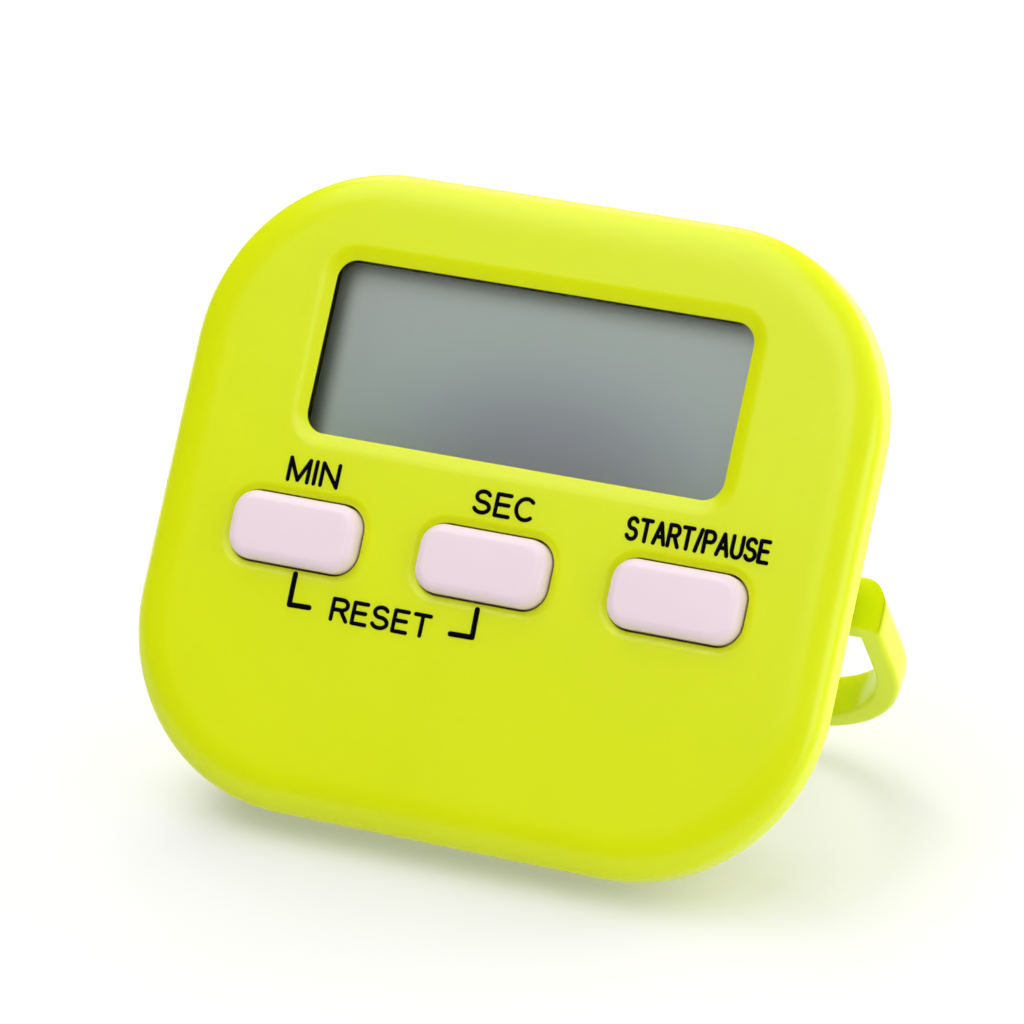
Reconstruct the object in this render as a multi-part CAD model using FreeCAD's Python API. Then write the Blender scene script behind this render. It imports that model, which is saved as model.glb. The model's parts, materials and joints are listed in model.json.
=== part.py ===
"""Countdown kitchen timer with three push buttons, a display and a fold-out stand loop.

Every piece is drawn in the timer's own frame: X to the right, Y up the face, Z out of the
face, the face at Z = 0 and everything behind it at minus Z. At the end each piece is leant
back on its stand and set down, so that +Z is up, -Y is the front and the origin is the
middle of the foot print. Millimetres.
"""
import FreeCAD, Part
import math
import os

# ---- Driving dimensions -------------------------------------------------------------------

CASE_WIDTH = 68.0
CASE_HEIGHT = 60.0
CASE_CORNER = 18.0
LEAN = 30.5                     # face leans back this far from upright, degrees

FRONT_DEPTH = 4.0               # the front shell's depth, to the parting line
FACE_EDGE = 1.9                 # rounding between the face and the side wall
WALL = 1.6
FACE_WALL = 1.8

BACK_DEPTH = 15.5               # depth of the back shell's flat back
BACK_STEP = 1.5                 # how far the back shell starts inside the front shell
BACK_TAPER = 2.9                # how far it draws in further towards its back
BACK_EDGE = 1.5
LIP_DEPTH = 1.5                 # the back shell's lip inside the front shell
LIP_GAP = 0.1

PAD_DEPTH = 20.4                # depth of the raised pads on the back
UPPER_PAD = {"half": 22.0, "low": 2.8, "high": 22.8, "corner": 5.0}
LOWER_PAD = {"half": 19.5, "low": -18.0, "high": -3.9, "corner": 5.0}
PAD_EDGE = 0.7

WINDOW_X = -0.1
WINDOW_Y = 13.1
WINDOW_WIDTH = 41.7
WINDOW_HEIGHT = 16.5
WINDOW_CORNER = 2.0
BEVEL_WIDTH = 1.3
BEVEL_DEPTH = 0.6
LENS_MARGIN = 1.7               # how far the lens reaches behind the window's edge
LENS_FRONT = 1.0
LENS_THICK = 1.0
LENS_GAP = 0.1                  # clearance all round the lens in its pocket
LENS_BACK = LENS_FRONT + LENS_THICK

BUTTON_X = {"minute": -19.2, "second": -0.2, "start": 18.8}
BUTTON_Y = -4.55
BUTTON_WIDTH = 12.9
BUTTON_HEIGHT = 6.4
BUTTON_CORNER = 2.2
BUTTON_PROUD = 1.3
BUTTON_EDGE = 0.9
BUTTON_GAP = 0.25
BUTTON_TRAVEL = 0.7
FLANGE_MARGIN = 0.9
FLANGE_THICK = 0.7
DISH_WIDTH = 0.7
DISH_DEPTH = 0.25
POST_RADIUS = 1.6
PILL_RADIUS = 1.5
PILL_THICK = 0.2

BOARD_FRONT = 6.0
BOARD_THICK = 1.2
BOARD_WIDTH = 60.0
BOARD_HEIGHT = 50.8
BOARD_CORNER = 13.4
BOARD_BACK = BOARD_FRONT + BOARD_THICK

CASE_SCREWS = [(-26.8, 12.5), (26.8, 12.5), (-23.5, -18.0), (23.5, -18.0)]
BOARD_SCREWS = [(-27.3, 3.5), (27.3, 3.5), (-10.0, -15.0), (10.0, -15.0)]
BOSS_RADIUS = 2.1
POST_FOR_BOARD = 1.9
SCREW_RADIUS = 0.75
HEAD_RADIUS = 1.35
HEAD_THICK = 1.0
CASE_JOIN = 7.6                 # depth where front and back screw bosses meet

CELL_RADIUS = 5.8
CELL_THICK = 5.4
CELL_X = 10.5
CELL_Y = 12.8
CELL_FRONT = 11.0
TAB_DROP = 2.5                  # spring contact's tab, below the cell's middle
WELL_OUTER = 9.2
WELL_INNER = 6.1
WELL_FLOOR = 9.4
DOOR_RADIUS = 7.5
DOOR_GAP = 0.1
DOOR_THICK = 1.5
LEDGE_RADIUS = 6.8
LEDGE_THICK = 1.0
DOOR_LUG_THICK = 0.9
DOOR_LUG_ANGLE = 40.0
DOOR_NOTCH_ANGLE = 52.0
DOOR_TURN = 60.0

BUZZER_X = -11.0
BUZZER_Y = 12.8
BUZZER_RADIUS = 8.0
BUZZER_DEPTH = 17.2
BRASS_THICK = 0.25
CERAMIC_RADIUS = 5.8
CERAMIC_THICK = 0.2

MAGNET_WIDTH = 30.0
MAGNET_HEIGHT = 9.0
MAGNET_THICK = 2.4

STAND_OPEN = 67.5               # angle between the open loop and the back, degrees
STAND_GAP = 0.3                 # gap between the open loop's stop face and the back
STAND_HALF = 32.5
STAND_THICK = 4.3
STAND_ARM = 2.2
STAND_CROSSBAR = 2.9
STAND_TOP_BAR = 2.1
STAND_CORNER = 14.0
STAND_CORNER_DROP = 8.0         # from the crease to where the corners begin
STAND_ROUND = 2.0
CREASE_Y = -2.55                # height of the crease on the face's scale
PIVOT_INSET = 1.3               # pivot to the stop face and to the front face
PIN_RADIUS = 0.6
PIN_CLEARANCE = 0.05
HINGE_LUG_INNER = 10.0
HINGE_LUG_OUTER = 14.0
HINGE_LUG_RADIUS = 2.0
PIN_END = 21.5

MARGIN = 5.0                    # tools for cutting run this far past what they cut

# ---- Small helpers ------------------------------------------------------------------------


def vec(x, y, z):
    return FreeCAD.Vector(x, y, z)


def outline(width, height, corner, x, y, z):
    """A closed rounded rectangle, centred on (x, y), in the plane at z."""
    a = width / 2
    b = height / 2
    c = corner
    k = c * (1 - math.sqrt(0.5))
    edges = []
    sides = [
        (vec(a, -b + c, 0), vec(a, b - c, 0)),
        (vec(a - c, b, 0), vec(-a + c, b, 0)),
        (vec(-a, b - c, 0), vec(-a, -b + c, 0)),
        (vec(-a + c, -b, 0), vec(a - c, -b, 0)),
    ]
    middles = [vec(a - k, b - k, 0), vec(-a + k, b - k, 0), vec(-a + k, -b + k, 0), vec(a - k, -b + k, 0)]
    for index, (start, end) in enumerate(sides):
        following = sides[(index + 1) % len(sides)][0]
        edges.append(Part.makeLine(start, end))
        edges.append(Part.Arc(end, middles[index], following).toShape())
    wire = Part.Wire(edges)
    wire.translate(vec(x, y, z))
    return wire


def plate(width, height, corner, x, y, front, back):
    """A rounded rectangular block between two depths behind the face."""
    face = Part.Face(outline(width, height, corner, x, y, -back))
    return face.extrude(vec(0, 0, back - front))


def tapered(size_front, size_back, x, y, front, back):
    """A block whose rounded outline changes evenly; each size is (width, height, corner)."""
    wires = [outline(*size_back, x, y, -back), outline(*size_front, x, y, -front)]
    return Part.makeLoft(wires, True, True)


def disc(radius, x, y, front, back):
    return Part.makeCylinder(radius, back - front, vec(x, y, -back))


def block(width, height, x, y, front, back):
    corner = vec(x - width / 2, y - height / 2, -back)
    return Part.makeBox(width, height, back - front, corner)


def joined(shapes):
    whole = shapes[0]
    for shape in shapes[1:]:
        whole = whole.fuse(shape)
    return whole.removeSplitter()


def without(shape, tools):
    for tool in tools:
        shape = shape.cut(tool)
    return shape


def edges_at(shape, depth):
    """The edges that lie wholly in the plane at a depth behind the face."""
    tolerance = 1e-4
    found = []
    for edge in shape.Edges:
        box = edge.BoundBox
        if abs(box.ZMin + depth) < tolerance and abs(box.ZMax + depth) < tolerance:
            found.append(edge)
    return found


def on_screws(points, make):
    return [make(x, y) for x, y in points]


# ---- Case ---------------------------------------------------------------------------------


def shrink(inset):
    """The case outline drawn in by an inset all round, as (width, height, corner)."""
    return (CASE_WIDTH - 2 * inset, CASE_HEIGHT - 2 * inset, CASE_CORNER - inset)


def back_inset(depth):
    return BACK_STEP + BACK_TAPER * (depth - FRONT_DEPTH) / (BACK_DEPTH - FRONT_DEPTH)


def window_opening():
    size = (WINDOW_WIDTH, WINDOW_HEIGHT, WINDOW_CORNER)
    wide = (WINDOW_WIDTH + 2 * BEVEL_WIDTH, WINDOW_HEIGHT + 2 * BEVEL_WIDTH, WINDOW_CORNER + BEVEL_WIDTH)
    through = plate(*size, WINDOW_X, WINDOW_Y, -MARGIN, FACE_WALL + MARGIN)
    bevel = tapered(wide, size, WINDOW_X, WINDOW_Y, 0, BEVEL_DEPTH)
    return joined([through, bevel])


def lens_shape(grow, back):
    """The lens, or with grow the pocket in the face's wall that it lies in."""
    width = WINDOW_WIDTH + 2 * (LENS_MARGIN + grow)
    height = WINDOW_HEIGHT + 2 * (LENS_MARGIN + grow)
    return plate(width, height, WINDOW_CORNER + grow, WINDOW_X, WINDOW_Y, LENS_FRONT, back)


def button_opening(x):
    grow = 2 * BUTTON_GAP
    size = (BUTTON_WIDTH + grow, BUTTON_HEIGHT + grow, BUTTON_CORNER + BUTTON_GAP)
    wide = tuple(s + 2 * DISH_WIDTH for s in size[:2]) + (size[2] + DISH_WIDTH,)
    through = plate(*size, x, BUTTON_Y, -MARGIN, FACE_WALL + MARGIN)
    dish = tapered(wide, size, x, BUTTON_Y, 0, DISH_DEPTH)
    return joined([through, dish])


def front_case():
    shell = plate(*shrink(0), 0, 0, 0, FRONT_DEPTH)
    shell = shell.makeFillet(FACE_EDGE, edges_at(shell, 0))
    shell = shell.cut(plate(*shrink(WALL), 0, 0, FACE_WALL, FRONT_DEPTH + MARGIN))
    bosses = on_screws(CASE_SCREWS, lambda x, y: disc(BOSS_RADIUS, x, y, FACE_WALL, CASE_JOIN))
    posts = on_screws(BOARD_SCREWS, lambda x, y: disc(POST_FOR_BOARD, x, y, FACE_WALL, BOARD_FRONT))
    shell = joined([shell] + bosses + posts)
    pilot = 3.0
    holes = on_screws(CASE_SCREWS + BOARD_SCREWS, lambda x, y: disc(SCREW_RADIUS, x, y, pilot, CASE_JOIN + 1))
    openings = [window_opening(), lens_shape(LENS_GAP, FACE_WALL + LENS_GAP)]
    openings += [button_opening(x) for x in BUTTON_X.values()]
    return without(shell, holes + openings)


def pad(spec, inset, front, back):
    """One raised pad on the back; inset draws its outline in, as for its hollow."""
    width = 2 * (spec["half"] - inset)
    height = spec["high"] - spec["low"] - 2 * inset
    middle = (spec["high"] + spec["low"]) / 2
    return plate(width, height, spec["corner"] - inset, 0, middle, front, back)


def pivot():
    """Height and depth of the stand's hinge axis."""
    turn = math.radians(STAND_OPEN)
    depth = BACK_DEPTH + STAND_GAP + PIVOT_INSET
    along = PIVOT_INSET * (1 - math.cos(turn)) / math.sin(turn)
    height = CREASE_Y - along * math.cos(turn) + PIVOT_INSET * math.sin(turn)
    return height, depth


def hinge_lug(side):
    height, depth = pivot()
    start = HINGE_LUG_INNER if side > 0 else -HINGE_LUG_OUTER
    width = HINGE_LUG_OUTER - HINGE_LUG_INNER
    barrel = Part.makeCylinder(HINGE_LUG_RADIUS, width, vec(start, height, -depth), vec(1, 0, 0))
    foot_sink = 0.4
    foot = block(width, 2 * HINGE_LUG_RADIUS, start + width / 2, height, BACK_DEPTH - foot_sink, depth)
    return barrel.fuse(foot)


def battery_well():
    """What the well adds to the back shell, and what it then cuts out of it."""
    ring = disc(WELL_OUTER, CELL_X, CELL_Y, WELL_FLOOR, PAD_DEPTH)
    door_floor = PAD_DEPTH - DOOR_THICK
    ledge_floor = door_floor - LEDGE_THICK
    lug_floor = ledge_floor - DOOR_LUG_THICK - 2 * DOOR_GAP
    lug_room = DOOR_RADIUS + 2 * DOOR_GAP
    floor_thick = 0.8
    cuts = [
        disc(DOOR_RADIUS + DOOR_GAP, CELL_X, CELL_Y, door_floor, PAD_DEPTH + MARGIN),
        disc(LEDGE_RADIUS, CELL_X, CELL_Y, ledge_floor, PAD_DEPTH),
        disc(lug_room, CELL_X, CELL_Y, lug_floor, ledge_floor),
        disc(WELL_INNER, CELL_X, CELL_Y, WELL_FLOOR + floor_thick, ledge_floor),
    ]
    for start in (DOOR_TURN, DOOR_TURN + 180):
        cuts.append(sector(lug_room, DOOR_NOTCH_ANGLE, start, ledge_floor, door_floor))
    tab_slot = block(2.4, 1.4, CELL_X, CELL_Y - TAB_DROP, WELL_FLOOR - 1, WELL_FLOOR + floor_thick + 1)
    strip_slot = block(2.6, 1.6, CELL_X, CELL_Y - WELL_INNER - 0.5, WELL_FLOOR - 1, lug_floor)
    return ring, cuts + [tab_slot, strip_slot]


def sector(radius, angle, middle, front, back):
    """A slice of a disc about the battery's axis, its middle at an angle from +X."""
    wedge = Part.makeCylinder(radius, back - front, vec(0, 0, 0), vec(0, 0, 1), angle)
    wedge.rotate(vec(0, 0, 0), vec(0, 0, 1), middle - angle / 2)
    wedge.translate(vec(CELL_X, CELL_Y, -back))
    return wedge


def sound_holes():
    """One hole in the middle and a ring of six round it, through the upper pad."""
    hole_radius = 0.7
    ring_radius = 3.0
    holes = [disc(hole_radius, BUZZER_X, BUZZER_Y, BUZZER_DEPTH, PAD_DEPTH + MARGIN)]
    for step in range(6):
        angle = math.radians(60 * step)
        x = BUZZER_X + ring_radius * math.cos(angle)
        y = BUZZER_Y + ring_radius * math.sin(angle)
        holes.append(disc(hole_radius, x, y, BUZZER_DEPTH, PAD_DEPTH + MARGIN))
    return holes


def magnet_middle():
    return (LOWER_PAD["low"] + LOWER_PAD["high"]) / 2


def magnet_pocket():
    fit = 0.1
    size = (MAGNET_WIDTH + 2 * fit, MAGNET_HEIGHT + 2 * fit, 1.0)
    return plate(*size, 0, magnet_middle(), PAD_DEPTH - MAGNET_THICK, PAD_DEPTH + MARGIN)


def back_case():
    inner_back = BACK_DEPTH - WALL
    shell = tapered(shrink(back_inset(FRONT_DEPTH)), shrink(back_inset(BACK_DEPTH)), 0, 0,
                    FRONT_DEPTH, BACK_DEPTH)
    shell = shell.makeFillet(BACK_EDGE, edges_at(shell, BACK_DEPTH))
    pads = []
    for spec in (UPPER_PAD, LOWER_PAD):
        raised = pad(spec, 0, inner_back, PAD_DEPTH)
        pads.append(raised.makeFillet(PAD_EDGE, edges_at(raised, PAD_DEPTH)))
    hollow = tapered(shrink(back_inset(FRONT_DEPTH) + WALL), shrink(back_inset(inner_back) + WALL), 0, 0,
                     FRONT_DEPTH, inner_back)
    pad_hollow = pad(UPPER_PAD, WALL, FRONT_DEPTH + LIP_DEPTH, PAD_DEPTH - WALL)
    magnet_room = MAGNET_THICK + 1.2
    lower_hollow = pad(LOWER_PAD, WALL, FRONT_DEPTH + LIP_DEPTH, PAD_DEPTH - magnet_room)
    lip = plate(*shrink(WALL + LIP_GAP), 0, 0, FRONT_DEPTH - LIP_DEPTH, FRONT_DEPTH)
    lip = lip.cut(plate(*shrink(BACK_STEP + WALL), 0, 0, 0, FRONT_DEPTH + MARGIN))
    shell = joined([shell] + pads + [hinge_lug(-1), hinge_lug(1)])
    shell = without(shell, [hollow, pad_hollow, lower_hollow])
    ring, well_cuts = battery_well()
    buzzer_rim = disc(BUZZER_RADIUS + 0.9, BUZZER_X, BUZZER_Y, BUZZER_DEPTH, PAD_DEPTH - WALL)
    buzzer_rim = buzzer_rim.cut(disc(BUZZER_RADIUS - 0.8, BUZZER_X, BUZZER_Y, 0, PAD_DEPTH - WALL))
    tubes = on_screws(CASE_SCREWS, lambda x, y: disc(BOSS_RADIUS, x, y, CASE_JOIN, BACK_DEPTH - WALL))
    shell = joined([shell, lip, ring, buzzer_rim] + tubes)
    head_room = 0.2
    screw_holes = on_screws(CASE_SCREWS, lambda x, y: disc(SCREW_RADIUS, x, y, 0, BACK_DEPTH + 1))
    head_floor = BACK_DEPTH - HEAD_THICK - 0.2
    head_holes = on_screws(
        CASE_SCREWS, lambda x, y: disc(HEAD_RADIUS + head_room, x, y, head_floor, BACK_DEPTH + 1))
    height, depth = pivot()
    start = vec(-HINGE_LUG_OUTER - 1, height, -depth)
    bore = Part.makeCylinder(PIN_RADIUS, 2 * HINGE_LUG_OUTER + 2, start, vec(1, 0, 0))
    return without(shell, well_cuts + sound_holes() + [magnet_pocket(), bore] + screw_holes + head_holes)


# ---- Display ------------------------------------------------------------------------------

GLASS_WIDTH = 45.0
GLASS_TOP = WINDOW_Y + 10.4
FRONT_GLASS_HEIGHT = 22.0
REAR_GLASS_HEIGHT = 19.5
GLASS_THICK = 0.55
FILM_THICK = 0.2
FILM_WIDTH = 44.0
FILM_HEIGHT = 18.2
STACK_FRONT = 3.0
ZEBRA_WIDTH = 41.0
ZEBRA_HEIGHT = 1.8


def display_window():
    return lens_shape(0, LENS_BACK)


def glass_depths():
    """Front depths of the display's layers, from the front polariser to the reflector's back."""
    polariser = STACK_FRONT
    front_glass = polariser + FILM_THICK
    rear_glass = front_glass + GLASS_THICK
    reflector = rear_glass + GLASS_THICK
    return polariser, front_glass, rear_glass, reflector, reflector + FILM_THICK


def glass_sheet(width, height, front, back):
    return block(width, height, WINDOW_X, GLASS_TOP - height / 2, front, back)


def zebra_middle():
    ledge_low = GLASS_TOP - FRONT_GLASS_HEIGHT
    ledge_high = GLASS_TOP - REAR_GLASS_HEIGHT
    return (ledge_low + ledge_high) / 2


def display_pieces():
    polariser, front_glass, rear_glass, reflector, stack_back = glass_depths()
    film_y = GLASS_TOP - REAR_GLASS_HEIGHT / 2
    frame_wall = 1.3
    gap = 0.15
    height = FRONT_GLASS_HEIGHT + 2 * (gap + frame_wall)
    middle = GLASS_TOP - FRONT_GLASS_HEIGHT / 2
    frame = plate(GLASS_WIDTH + 2 * (gap + frame_wall), height, 3.0, WINDOW_X, middle,
                  STACK_FRONT, BOARD_FRONT)
    room = block(GLASS_WIDTH + 2 * gap, FRONT_GLASS_HEIGHT + 2 * gap, WINDOW_X, middle, 0, rear_glass)
    rear_room = block(GLASS_WIDTH + 2 * gap, REAR_GLASS_HEIGHT + 2 * gap, WINDOW_X, film_y, 0, stack_back)
    open_width = 36.0
    open_height = 11.0
    back_opening = block(open_width, open_height, WINDOW_X, film_y, 0, BOARD_FRONT + 1)
    zebra_slot = block(ZEBRA_WIDTH + 0.4, ZEBRA_HEIGHT + 0.4, WINDOW_X, zebra_middle(), 0, BOARD_FRONT + 1)
    frame = without(frame, [room, rear_room, back_opening, zebra_slot])
    return {
        "lcd_front_polariser": block(FILM_WIDTH, FILM_HEIGHT, WINDOW_X, film_y, polariser, front_glass),
        "lcd_front_glass": glass_sheet(GLASS_WIDTH, FRONT_GLASS_HEIGHT, front_glass, rear_glass),
        "lcd_rear_glass": glass_sheet(GLASS_WIDTH, REAR_GLASS_HEIGHT, rear_glass, reflector),
        "lcd_reflector": block(FILM_WIDTH, FILM_HEIGHT, WINDOW_X, film_y, reflector, stack_back),
        "lcd_frame": frame,
        "zebra_strip": block(ZEBRA_WIDTH, ZEBRA_HEIGHT, WINDOW_X, zebra_middle(), rear_glass, BOARD_FRONT),
    }


# ---- Buttons and keypad -------------------------------------------------------------------

FLANGE_FRONT = FACE_WALL + 0.2
POST_END = BOARD_FRONT - BUTTON_TRAVEL - 0.1 - PILL_THICK


def button(x):
    cap = plate(BUTTON_WIDTH, BUTTON_HEIGHT, BUTTON_CORNER, x, BUTTON_Y, -BUTTON_PROUD, FLANGE_FRONT)
    cap = cap.makeFillet(BUTTON_EDGE, edges_at(cap, -BUTTON_PROUD))
    size = (BUTTON_WIDTH + 2 * FLANGE_MARGIN, BUTTON_HEIGHT + 2 * FLANGE_MARGIN, BUTTON_CORNER)
    flange = plate(*size, x, BUTTON_Y, FLANGE_FRONT, FLANGE_FRONT + FLANGE_THICK)
    post = disc(POST_RADIUS, x, BUTTON_Y, FLANGE_FRONT + FLANGE_THICK, POST_END)
    return joined([cap, flange, post])


def carbon_pill(x):
    return disc(PILL_RADIUS, x, BUTTON_Y, POST_END, POST_END + PILL_THICK)


def keypad_mat():
    """Rubber mat on the board, with a collar round each button's post."""
    sheet_thick = 0.8
    collar_height = 1.3
    collar_wall = 0.7
    clear = 0.5
    height = 8.4
    corner = 2.0
    past_posts = 6.5
    front = BOARD_FRONT - sheet_thick
    width = BUTTON_X["start"] - BUTTON_X["minute"] + 2 * past_posts
    centre = (BUTTON_X["start"] + BUTTON_X["minute"]) / 2
    pieces = [plate(width, height, corner, centre, BUTTON_Y, front, BOARD_FRONT)]
    holes = []
    for x in BUTTON_X.values():
        inner = POST_RADIUS + clear
        foot = Part.makeCone(inner + 2 * collar_wall, inner + collar_wall, collar_height,
                             vec(x, BUTTON_Y, -front))
        pieces.append(foot)
        holes.append(disc(inner, x, BUTTON_Y, 0, BOARD_FRONT + 1))
    return without(joined(pieces), holes)


# ---- Circuit board and what is on it ------------------------------------------------------


def circuit_board():
    board = plate(BOARD_WIDTH, BOARD_HEIGHT, BOARD_CORNER, 0, 0, BOARD_FRONT, BOARD_BACK)
    clear = 0.4
    bosses = on_screws(
        CASE_SCREWS, lambda x, y: disc(BOSS_RADIUS + clear, x, y, 0, BOARD_BACK + 1))
    screws = on_screws(BOARD_SCREWS, lambda x, y: disc(SCREW_RADIUS, x, y, 0, BOARD_BACK + 1))
    return without(board, bosses + screws)


def chip_blob():
    """A domed drop of epoxy over the bare chip, its very top flat."""
    base_radius = 4.6
    flat_radius = 0.3
    height = 1.3
    dome_radius = (base_radius ** 2 + height ** 2) / (2 * height)
    drop = dome_radius - height

    def on_dome(angle):
        return vec(dome_radius * math.cos(angle), 0, drop - dome_radius * math.sin(angle))

    low = math.acos(base_radius / dome_radius)
    high = math.acos(flat_radius / dome_radius)
    rim = on_dome(low)
    top = on_dome(high)
    axis_top = vec(0, 0, top.z)
    wire = Part.Wire([
        Part.makeLine(vec(0, 0, rim.z), rim),
        Part.Arc(rim, on_dome((low + high) / 2), top).toShape(),
        Part.makeLine(top, axis_top),
        Part.makeLine(axis_top, vec(0, 0, rim.z)),
    ])
    dome = Part.Face(wire).revolve(vec(0, 0, 0), vec(0, 0, 1), 360)
    dome.translate(vec(-13.0, -2.0, -BOARD_BACK))
    return dome


def crystal():
    can_radius = 1.0
    can_length = 6.0
    lead_radius = 0.16
    x = 2.0
    y = -18.5
    depth = BOARD_BACK + can_radius
    can = Part.makeCylinder(can_radius, can_length, vec(x, y, -depth), vec(1, 0, 0))
    leads = []
    for offset in (-0.35, 0.35):
        leads.append(Part.makeCylinder(lead_radius, 2.5, vec(x - 2.5, y + offset, -depth), vec(1, 0, 0)))
    return joined([can] + leads)


def small_blocks(points, width, height, thick):
    solids = [block(width, height, x, y, BOARD_BACK, BOARD_BACK + thick) for x, y in points]
    return Part.makeCompound(solids)


def wire_path(points, radius):
    """Straight runs through the points, each corner turned by an arc of the given radius."""
    edges = []
    start = points[0]
    for before, corner, after in zip(points, points[1:], points[2:]):
        come = (before - corner).normalize()
        leave = (after - corner).normalize()
        half = come.getAngle(leave) / 2
        reach = radius / math.tan(half)
        inward = (come + leave).normalize()
        first = corner + come * reach
        last = corner + leave * reach
        middle = corner + inward * (radius / math.sin(half) - radius)
        edges.append(Part.makeLine(start, first))
        edges.append(Part.Arc(first, middle, last).toShape())
        start = last
    edges.append(Part.makeLine(start, points[-1]))
    return Part.Wire(edges)


def lead(points, wire_radius, bend_radius):
    path = wire_path(points, bend_radius)
    direction = points[1] - points[0]
    section = Part.Wire(Part.makeCircle(wire_radius, points[0], direction))
    return path.makePipeShell([section], True, False)


def buzzer_lead(board_x, board_y, end_x, end_y, end_depth):
    """An insulated wire from the board back to the buzzer, with one slack bend at each end."""
    run = 4.6
    points = [
        vec(board_x, board_y, -BOARD_BACK),
        vec(board_x, board_y, -BOARD_BACK - run),
        vec(end_x, end_y, -(end_depth - run * 0.9)),
        vec(end_x, end_y, -end_depth),
    ]
    return lead(points, 0.35, 1.4)


# ---- Power, sound and magnet --------------------------------------------------------------


def battery_cell():
    can = disc(CELL_RADIUS, CELL_X, CELL_Y, CELL_FRONT, CELL_FRONT + CELL_THICK)
    step = 0.45
    ring = disc(CELL_RADIUS, CELL_X, CELL_Y, CELL_FRONT, CELL_FRONT + step)
    ring = ring.cut(disc(CELL_RADIUS - 0.8, CELL_X, CELL_Y, 0, CELL_FRONT + MARGIN))
    return can.cut(ring)


def negative_contact():
    """A springy disc under the cell with a tab down to the board."""
    thick = 0.3
    leaf = disc(3.4, CELL_X, CELL_Y, CELL_FRONT - thick, CELL_FRONT)
    tab = block(1.8, thick, CELL_X, CELL_Y - TAB_DROP, BOARD_BACK, CELL_FRONT - thick)
    return joined([leaf, tab])


def positive_contact():
    """A strip up the side of the well that bears on the cell's can."""
    thick = 0.25
    y = CELL_Y - CELL_RADIUS - thick / 2
    strip = block(2.0, thick, CELL_X, y, BOARD_BACK, CELL_FRONT + CELL_THICK - 1.0)
    foot = block(2.0, 1.6, CELL_X, y - 0.8, BOARD_BACK, BOARD_BACK + thick)
    return joined([strip, foot])


def battery_door():
    door_floor = PAD_DEPTH - DOOR_THICK
    lug_back = door_floor - LEDGE_THICK - DOOR_GAP
    lug_front = lug_back - DOOR_LUG_THICK
    cover = disc(DOOR_RADIUS, CELL_X, CELL_Y, door_floor, PAD_DEPTH)
    cover = cover.makeChamfer(0.3, edges_at(cover, PAD_DEPTH))
    neck = disc(LEDGE_RADIUS - DOOR_GAP, CELL_X, CELL_Y, lug_front, door_floor)
    lugs = []
    for middle in (0, 180):
        lugs.append(sector(DOOR_RADIUS, DOOR_LUG_ANGLE, middle, lug_front, lug_back))
    slot_length = 9.0
    slot_width = 1.6
    slot_round = 0.79
    slot_floor = PAD_DEPTH - 0.9
    slot = plate(slot_length, slot_width, slot_round, CELL_X, CELL_Y, slot_floor, PAD_DEPTH + 1)
    hollow = disc(LEDGE_RADIUS - 1.2, CELL_X, CELL_Y, 0, door_floor - 0.3)
    return without(joined([cover, neck] + lugs), [slot, hollow])


def magnet():
    return plate(MAGNET_WIDTH, MAGNET_HEIGHT, 0.9, 0, magnet_middle(), PAD_DEPTH - MAGNET_THICK, PAD_DEPTH)


def buzzer_pieces():
    brass_front = BUZZER_DEPTH - BRASS_THICK
    ceramic_front = brass_front - CERAMIC_THICK
    board_x = -3.4
    return {
        "buzzer_disc": disc(BUZZER_RADIUS, BUZZER_X, BUZZER_Y, brass_front, BUZZER_DEPTH),
        "buzzer_ceramic": disc(CERAMIC_RADIUS, BUZZER_X, BUZZER_Y, ceramic_front, brass_front),
        "buzzer_lead_red": buzzer_lead(board_x, 12.0, BUZZER_X + 3.0, BUZZER_Y + 2.0, ceramic_front),
        "buzzer_lead_black": buzzer_lead(board_x, 6.5, BUZZER_X + 6.8, BUZZER_Y - 2.2, brass_front),
    }


# ---- Fasteners ----------------------------------------------------------------------------


def screw(x, y, tip, head_front):
    """A round-headed screw with a cross recess; its tip and its head's seat are depths."""
    head = disc(HEAD_RADIUS, x, y, head_front, head_front + HEAD_THICK)
    head = head.makeFillet(0.35, edges_at(head, head_front + HEAD_THICK))
    shank = disc(SCREW_RADIUS, x, y, tip, head_front)
    bars = []
    for width, height in ((1.7, 0.4), (0.4, 1.7)):
        bars.append(block(width, height, x, y, head_front + 0.4, head_front + HEAD_THICK + 1))
    return without(joined([head, shank]), bars)


def case_screws():
    seat = BACK_DEPTH - HEAD_THICK - 0.2
    return Part.makeCompound(on_screws(CASE_SCREWS, lambda x, y: screw(x, y, 3.2, seat)))


def board_screws():
    return Part.makeCompound(on_screws(BOARD_SCREWS, lambda x, y: screw(x, y, 3.2, BOARD_BACK)))


def hinge_pin(side):
    height, depth = pivot()
    inner_end = HINGE_LUG_INNER + 0.3
    start = inner_end if side > 0 else -PIN_END
    return Part.makeCylinder(PIN_RADIUS, PIN_END - inner_end, vec(start, height, -depth), vec(1, 0, 0))


# ---- Stand --------------------------------------------------------------------------------


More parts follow.
